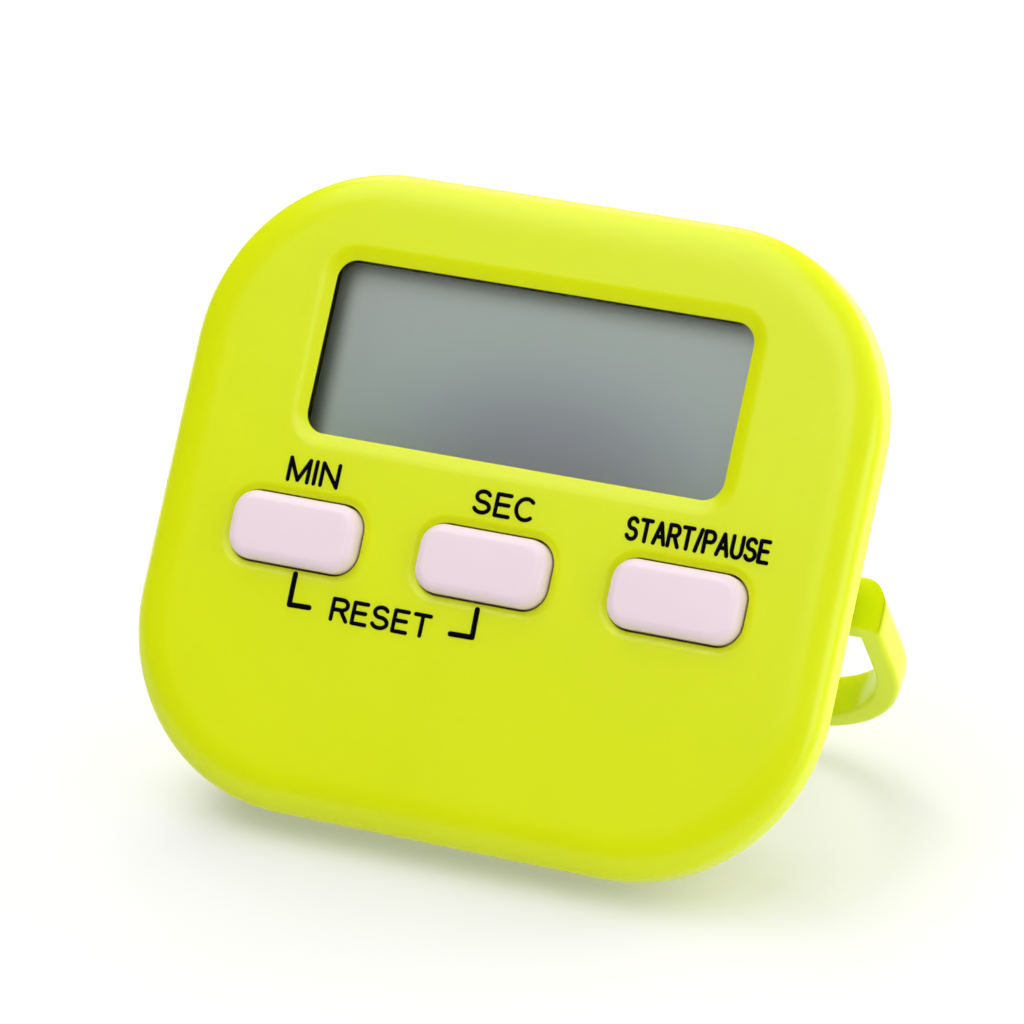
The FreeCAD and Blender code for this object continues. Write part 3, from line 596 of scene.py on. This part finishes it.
def front_case():
    """The front shell: its face with the window and key openings, its rim and its bosses."""
    skin = Skin()
    case = rounded_box(CASE.width, CASE_HEIGHT, CASE_CORNER, steps=28)
    profile = eased(
        [
            (WALL + 0.6, FACE_WALL), (WALL, FACE_WALL), (WALL, FRONT_DEPTH),
            (0, FRONT_DEPTH), (0, FACE_EDGE),
        ],
        [0.3, 0.12, 0.22], 8)
    profile += quarter_ellipse(0, 0, FACE_EDGE_REACH, FACE_EDGE, 16)[1:]
    profile.append((FACE_EDGE_REACH + 0.6, 0))
    inner_rim, face_rim = skin.wall(case, profile)
    face_holes = []
    inner_holes = []
    lens_front = LENS.depth[0]
    opening = eased(
        [
            (-WINDOW_BLEND, 0), (-WINDOW_BEVEL, 0), (WINDOW_LIP, WINDOW_BEVEL_DEPTH),
            (-WINDOW_UNDERCUT, lens_front), (-0.6, lens_front),
        ],
        [2.4, 0.12, 0.05])
    outer, window_foot = skin.wall(window_outline(), opening)
    face_holes.append(outer)
    for button in button_extents().values():
        gap = rounded_box(
            BUTTON_SIZE[0] + 2 * BUTTON_GAP, BUTTON_SIZE[1] + 2 * BUTTON_GAP,
            BUTTON_CORNER + BUTTON_GAP, *button.middle, steps=10)
        dish = eased(
            [
                (-DISH_BLEND, 0), (-DISH_REACH, 0), (0, DISH_DEPTH),
                (0, FACE_WALL), (-0.4, FACE_WALL),
            ],
            [1.4, 0.1, 0.1])
        outer, inner = skin.wall(gap, dish)
        face_holes.append(outer)
        inner_holes.append(inner)
    pocket = rounded_box(
        LENS.width + 2 * LENS_GAP, LENS.height + 2 * LENS_GAP, WINDOW_CORNER + LENS_GAP,
        *LENS.middle, steps=10)
    pocket_floor, pocket_foot = skin.wall(pocket, eased(
        [(0.3, lens_front), (0, lens_front), (0, FACE_WALL), (-0.3, FACE_WALL)], [0.06, 0.08], 2))
    skin.fill(pocket_floor, [window_foot])
    inner_holes.append(pocket_foot)
    for x, y in CASE_SCREWS:
        inner_holes.append(
            skin.boss(x, y, CASE_BOSS_RADIUS, FACE_WALL, CASE_JOIN, SCREW_HOLE_FLOOR))
    for x, y in BOARD_SCREWS:
        inner_holes.append(
            skin.boss(x, y, BOARD_BOSS_RADIUS, FACE_WALL, BOARD_FRONT, SCREW_HOLE_FLOOR))
    skin.fill(face_rim, face_holes)
    skin.fill(inner_rim, inner_holes)
    piece = mesh_object("front_shell", skin.points, skin.faces, MATERIALS["lime_plastic"])
    place_piece(piece, "case", "lime_plastic", "front_case")


# ---- Buttons -------------------------------------------------------------------------------


def button_cap(name, extent):
    """A key: its crowned cap, the flange that holds it in, and the post that presses the mat."""
    skin = Skin()
    flange_front = FACE_WALL + FLANGE_GAP
    flange_back = flange_front + FLANGE_THICK
    proud = -extent.depth[0]
    post_end = extent.depth[1]
    cap = rounded_box(*BUTTON_SIZE, BUTTON_CORNER, *extent.middle, steps=10)
    profile = [(0.0, flange_front), (0.0, 0.4)]
    profile += quarter_ellipse(0, -proud, BUTTON_EDGE_REACH, proud - BUTTON_SHOULDER, 12)
    profile.append((BUTTON_EDGE_REACH + 0.3, -proud))
    cap_foot, top = skin.wall(cap, profile)
    middle_x, middle_y = extent.middle
    half_x = BUTTON_SIZE[0] / 2
    half_y = BUTTON_SIZE[1] / 2
    inner = []
    for i in range(-5, 6):
        for j in range(-1, 2):
            inner.append((middle_x + i * 0.7, middle_y + j * 0.7, -proud))
    skin.fill(top, (), inner)
    flange = rounded_box(
        BUTTON_SIZE[0] + 2 * FLANGE_MARGIN, BUTTON_SIZE[1] + 2 * FLANGE_MARGIN,
        BUTTON_CORNER, *extent.middle, steps=10)
    flange_top, flange_under = skin.wall(flange, eased(
        [(0.2, flange_front), (0, flange_front), (0, flange_back), (0.2, flange_back)],
        [0.1, 0.1], 2))
    post_foot, post_tip = skin.wall(
        circle(POST_RADIUS, *extent.middle, 24),
        [(0, flange_back), (0, post_end - POST_CHAMFER), (POST_CHAMFER, post_end)])
    skin.fill(flange_top, [cap_foot])
    skin.fill(flange_under, [post_foot])
    skin.fill(post_tip)
    for index, (x, y, z) in enumerate(skin.points):
        if z > 0:
            spread = ((x - middle_x) / half_x) ** 2 + ((y - middle_y) / half_y) ** 2
            skin.points[index] = (x, y, z - BUTTON_CROWN * spread / 2 * z / proud)
    piece = mesh_object(name + "_key", skin.points, skin.faces, MATERIALS["button_plastic"])
    place_piece(piece, name + "_button", "button_plastic", name + "_button")


# ---- Printed labels ------------------------------------------------------------------------


def bow(x, y, reach_x, reach_y, start, end, steps=14):
    """Points along part of an ellipse, angles in degrees."""
    turns = [math.radians(start + (end - start) * step / steps) for step in range(steps + 1)]
    return [(x + reach_x * math.cos(t), y + reach_y * math.sin(t)) for t in turns]


def letter_strokes():
    """Strokes of the capital letters used, on a cap height of 1, with each letter's width."""
    bowl = [(0, 1), (0.36, 1)] + bow(0.36, 0.75, 0.25, 0.25, 90, -90) + [(0, 0.5)]
    ess = bow(0.31, 0.755, 0.27, 0.245, 25, 270) + bow(0.31, 0.255, 0.31, 0.255, 90, -160)
    return {
        "A": (0.68, [[(0, 0), (0.34, 1), (0.68, 0)], [(0.12, 0.34), (0.56, 0.34)]]),
        "C": (0.70, [bow(0.38, 0.5, 0.38, 0.5, 48, 312, 22)]),
        "E": (0.56, [[(0.54, 1), (0, 1), (0, 0), (0.56, 0)], [(0, 0.53), (0.50, 0.53)]]),
        "I": (0.0, [[(0, 0), (0, 1)]]),
        "M": (0.78, [[(0, 0), (0, 1), (0.39, 0.04), (0.78, 1), (0.78, 0)]]),
        "N": (0.64, [[(0, 0), (0, 1), (0.64, 0), (0.64, 1)]]),
        "P": (0.60, [[(0, 0), (0, 1)], bowl]),
        "R": (0.62, [[(0, 0), (0, 1)], bowl, [(0.34, 0.5), (0.64, 0)]]),
        "S": (0.62, [ess]),
        "T": (0.64, [[(0, 1), (0.64, 1)], [(0.32, 1), (0.32, 0)]]),
        "U": (0.62, [[(0, 1), (0, 0.31)] + bow(0.31, 0.31, 0.31, 0.31, 180, 360) + [(0.62, 1)]]),
        "/": (0.26, [[(0, -0.02), (0.26, 1.02)]]),
    }


LETTERS = letter_strokes()


def word_strokes(word, x, y, width, height):
    """The strokes of a word, its first letter's foot at (x, y), squeezed to the width."""
    natural = sum(LETTERS[letter][0] for letter in word) + LETTER_SPACE * (len(word) - 1)
    scale = width / natural
    strokes = []
    at = 0.0
    for letter in word:
        advance, lines = LETTERS[letter]
        for line in lines:
            strokes.append([(x + (at + px) * scale, y + py * height) for px, py in line])
        at += advance + LETTER_SPACE
    return strokes


def capsule(start, end, radius, steps=6):
    """The outline of one straight stroke with round ends."""
    heading = math.atan2(end[1] - start[1], end[0] - start[0])
    points = []
    for centre, offset in ((end, -90), (start, 90)):
        for step in range(steps + 1):
            angle = heading + math.radians(offset + 180 * step / steps)
            points.append((
                centre[0] + radius * math.cos(angle),
                centre[1] + radius * math.sin(angle),
            ))
    return points


def printed(name, strokes, width):
    """Ink strokes joined into one thin layer that stands just off the face."""
    outlines = []
    for line in strokes:
        for start, end in zip(line, line[1:]):
            outlines.append(capsule(start, end, width / 2))
    flat = [Vector(p) for outline in outlines for p in outline]
    size = len(outlines[0])
    regions = [list(range(n * size, (n + 1) * size)) for n in range(len(outlines))]
    found = delaunay_2d_cdt(flat, [], regions, 0, 1e-5)
    faces = [face for face, inside in zip(found[2], found[5]) if inside]
    count = len(found[0])
    points = [(p.x, p.y, height) for height in (INK_HIGH, INK_LOW) for p in found[0]]
    sides = {}
    for face in faces:
        for a, b in zip(face, face[1:] + face[:1]):
            if sides.pop((b, a), None) is None:
                sides[(a, b)] = True
    solid = [tuple(face) for face in faces]
    solid += [tuple(i + count for i in reversed(face)) for face in faces]
    solid += [(b, a, a + count, b + count) for a, b in sides]
    piece = mesh_object(name, points, solid, MATERIALS["label_ink"])
    loose = bmesh.new()
    loose.from_mesh(piece.data)
    bmesh.ops.delete(loose, geom=[v for v in loose.verts if not v.link_faces], context="VERTS")
    for face in loose.faces:
        face.smooth = False
    loose.to_mesh(piece.data)
    loose.free()
    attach(piece, "case")


def labels():
    """The words over and under the keys, and the two marks beside RESET."""
    for name, word, left, foot, width, height in WORDS:
        printed(name, word_strokes(word, left, foot, width, height), LETTER_STROKE)
    for name, line in MARKS:
        printed(name, [line], MARK_STROKE)


# ---- Display -------------------------------------------------------------------------------


def window_lens():
    """The clear lens, its edges eased."""
    skin = Skin()
    outline = rounded_box(LENS.width, LENS.height, WINDOW_CORNER, *LENS.middle, steps=8)
    front, back = LENS.depth
    rims = skin.wall(outline, eased(
        [(0.6, front), (0, front), (0, back), (0.6, back)], [0.12, 0.12], 3))
    for rim in rims:
        skin.fill(rim)
    piece = mesh_object("window_lens", skin.points, skin.faces, MATERIALS["window_clear"])
    place_piece(piece, "case", "window_clear", "display_window")


def display_shade_sheet():
    """A black sheet of painted shade round the window, standing for the shadow at the display's edge, just in
    front of the film.
    """
    window = window_outline()(0)
    left, right = min(p[0] for p in window), max(p[0] for p in window)
    low, high = min(p[1] for p in window), max(p[1] for p in window)
    width = right - left + 2 * BORDER_SIDE
    height = high - low + BORDER_BELOW - BORDER_ABOVE
    middle_x = (left + right) / 2
    clear_middle_y = (low - BORDER_BELOW + high - BORDER_ABOVE) / 2
    clear = rounded_box(width, height, BORDER_CORNER, middle_x, clear_middle_y, steps=4)
    border = rounded_box(
        width + BORDER_SPARE_X, height + BORDER_SPARE_Y, 0.5, middle_x, (low + high) / 2, steps=4)
    back = FILM.depth[0] - BORDER_GAP
    front = back - BORDER_THICK
    skin = Skin()
    outer_front, outer_back = skin.wall(border, [(0, front), (0, back)])
    inner_front, inner_back = skin.wall(clear, [(0, front), (0, back)])
    skin.fill(outer_front, [inner_front])
    skin.fill(outer_back, [inner_back])
    # Painted shade: a dark sheet in the ink material where the display's edge lies in shadow.
    piece = mesh_object("display_shade_border", skin.points, skin.faces, MATERIALS["label_ink"])
    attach(piece, "case")


# ---- Stand ---------------------------------------------------------------------------------


def loop_half(half, corner, foot, top, arm_steps=6, corner_steps=18, foot_steps=14):
    """The right half of the loop's line, from its top down to the middle of its foot."""
    middle_x = half - corner
    lean_out = math.atan2(2 * (foot - STAND_DROP - corner), middle_x)
    points = []
    for step in range(arm_steps):
        points.append((half, top + (-STAND_DROP - top) * step / arm_steps))
    for step in range(corner_steps):
        angle = -(math.pi / 2 - lean_out) * step / corner_steps
        points.append((middle_x + corner * math.cos(angle), -STAND_DROP + corner * math.sin(angle)))
    end_x = middle_x + corner * math.sin(lean_out)
    end_y = -STAND_DROP - corner * math.cos(lean_out)
    rise = foot + end_y
    radius = (end_x ** 2 + rise ** 2) / (2 * rise)
    reach = math.asin(end_x / radius)
    for step in range(foot_steps + 1):
        angle = reach * (1 - step / foot_steps)
        points.append((radius * math.sin(angle), -foot + radius * (1 - math.cos(angle))))
    return points


def full_loop(right):
    """Both halves of the loop's line, from the right top round to the left top."""
    return right + [(-x, y) for x, y in reversed(right[:-1])]


def stand_loop():
    """The loop: one ring of points through its outer line, its lugs' gap and its hole."""
    outer_profile = eased(
        [(1.0, 0), (0, 0), (0, STAND_THICK), (2.1, STAND_THICK)], [0.5, STAND_ROUND], 8)
    inner_profile = eased(
        [(0.6, 0), (0, 0), (0, STAND_THICK), (0.05, STAND_THICK)], [0.4, 0.04], 8)
    skin = Skin()
    rings = []
    slope = 1 / math.tan(STAND_OPEN)
    for (inset, depth), (outset, inner_depth) in zip(outer_profile, inner_profile):
        top = depth * slope
        inner_top = inner_depth * slope
        outer = full_loop(loop_half(
            STAND_HALF - inset, STAND_CORNER - inset, STAND_LENGTH - inset, top))
        hole = full_loop(loop_half(
            STAND_HALF - STAND_ARM + outset, STAND_CORNER - STAND_ARM + outset,
            STAND_LENGTH - STAND_CROSSBAR + outset, -STAND_TOP_BAR + outset))
        prong = LUG_GAP + outset
        ring = [(prong, inner_top, inner_depth)]
        ring += [(x, y, depth) for x, y in outer]
        ring += [(-prong, inner_top, inner_depth)]
        ring += [(-prong, -STAND_TOP_BAR + outset, inner_depth)]
        ring += [(x, y, inner_depth) for x, y in reversed(hole)]
        ring += [(prong, -STAND_TOP_BAR + outset, inner_depth)]
        first = len(skin.points)
        skin.points += [(x, y, -z) for x, y, z in ring]
        rings.append(list(range(first, len(skin.points))))
    for a, b in zip(rings, rings[1:]):
        skin.bridge(a, b)
    skin.fill(rings[0])
    skin.fill(rings[-1])
    crease = Matrix.Translation((0, CREASE[0] * MM, -CREASE[1] * MM))
    place = FACE @ crease @ Matrix.Rotation(STAND_OPEN, 4, "X")
    piece = mesh_object("stand", skin.points, skin.faces, MATERIALS["lime_plastic"], place)
    place_piece(piece, "stand_loop", "lime_plastic", "stand_loop")


# ---- Light, floor and camera ---------------------------------------------------------------


def area_light(name, place, size, watts):
    """A soft box that faces the timer and isn't seen itself."""
    lamp = bpy.data.lights.new(name, "AREA")
    lamp.shape = "RECTANGLE"
    lamp.size, lamp.size_y = size
    lamp.energy = watts
    holder = bpy.data.objects.new(name, lamp)
    holder.location = place
    holder.rotation_mode = "QUATERNION"
    holder.rotation_quaternion = (Vector(AIM) - Vector(place)).to_track_quat("-Z", "Y")
    holder.visible_camera = False
    bpy.context.scene.collection.objects.link(holder)


def sky():
    """Light from all round, strongest from above, behind and right; the camera sees white."""
    world = bpy.data.worlds.new("studio")
    bpy.context.scene.world = world
    world.use_nodes = True
    nodes = world.node_tree.nodes
    links = world.node_tree.links
    towards = nodes.new("ShaderNodeVectorMath")
    towards.operation = "DOT_PRODUCT"
    towards.inputs[1].default_value = Vector(SKY_BRIGHT_SIDE).normalized()
    links.new(nodes.new("ShaderNodeTexCoord").outputs["Generated"], towards.inputs[0])
    spread = nodes.new("ShaderNodeMapRange")
    spread.inputs["From Min"].default_value = -0.1
    spread.inputs["To Min"].default_value = SKY_DIM
    spread.inputs["To Max"].default_value = SKY_BRIGHT
    links.new(towards.outputs["Value"], spread.inputs["Value"])
    seen = nodes.new("ShaderNodeMix")
    seen.inputs["B"].default_value = 1.0
    links.new(nodes.new("ShaderNodeLightPath").outputs["Is Camera Ray"], seen.inputs["Factor"])
    links.new(spread.outputs["Result"], seen.inputs["A"])
    backdrop = nodes["Background"]
    backdrop.inputs["Color"].default_value = (1, 1, 1, 1)
    links.new(seen.outputs["Result"], backdrop.inputs["Strength"])


def studio():
    """The lamps, the sky and the pale floor."""
    scene = bpy.context.scene
    scene.view_settings.view_transform = "Standard"
    sky()
    for lamp in LAMPS:
        area_light(*lamp)
    half = FLOOR_HALF
    corners = [(-half, -half, 0), (half, -half, 0), (half, half, 0), (-half, half, 0)]
    mesh = bpy.data.meshes.new("floor")
    mesh.from_pydata(corners, [], [(0, 1, 2, 3)])
    floor = bpy.data.objects.new("floor", mesh)
    scene.collection.objects.link(floor)
    paper = Finish(
        "paper", roughness=0.6, emission_color=(1, 1, 1, 1), emission_strength=FLOOR_GLOW)
    pale = [(0.3, (0.53, 0.53, 0.53)), (0.7, (0.55, 0.55, 0.55))]
    paper.feed("Base Color", paper.ramp(paper.noise(60.0), pale))
    mesh.materials.append(paper.material)


def camera():
    """Half right of the face and a little above it, from about half a metre."""
    view = bpy.data.cameras.new("camera")
    view.sensor_width = 36.0
    view.lens = CAMERA_LENS
    view.clip_start = 0.01
    holder = bpy.data.objects.new("camera", view)
    holder.location = FACE.translation + Vector(CAMERA_FROM_FACE)
    holder.rotation_mode = "QUATERNION"
    holder.rotation_quaternion = Vector(CAMERA_AIM).to_track_quat("-Z", "Y")
    bpy.context.scene.collection.objects.link(holder)
    bpy.context.scene.camera = holder


camera()
studio()
front_case()
for button_name, button_extent in button_extents().items():
    button_cap(button_name, button_extent)
labels()
window_lens()
display_shade_sheet()
stand_loop()
for part in frame["record"]["subparts"]:
    cad_piece = frame["nodes"][part["node"]]
    if not cad_piece.hide_render:
        cad_piece.data.materials[0] = MATERIALS[part["material_slot"]]
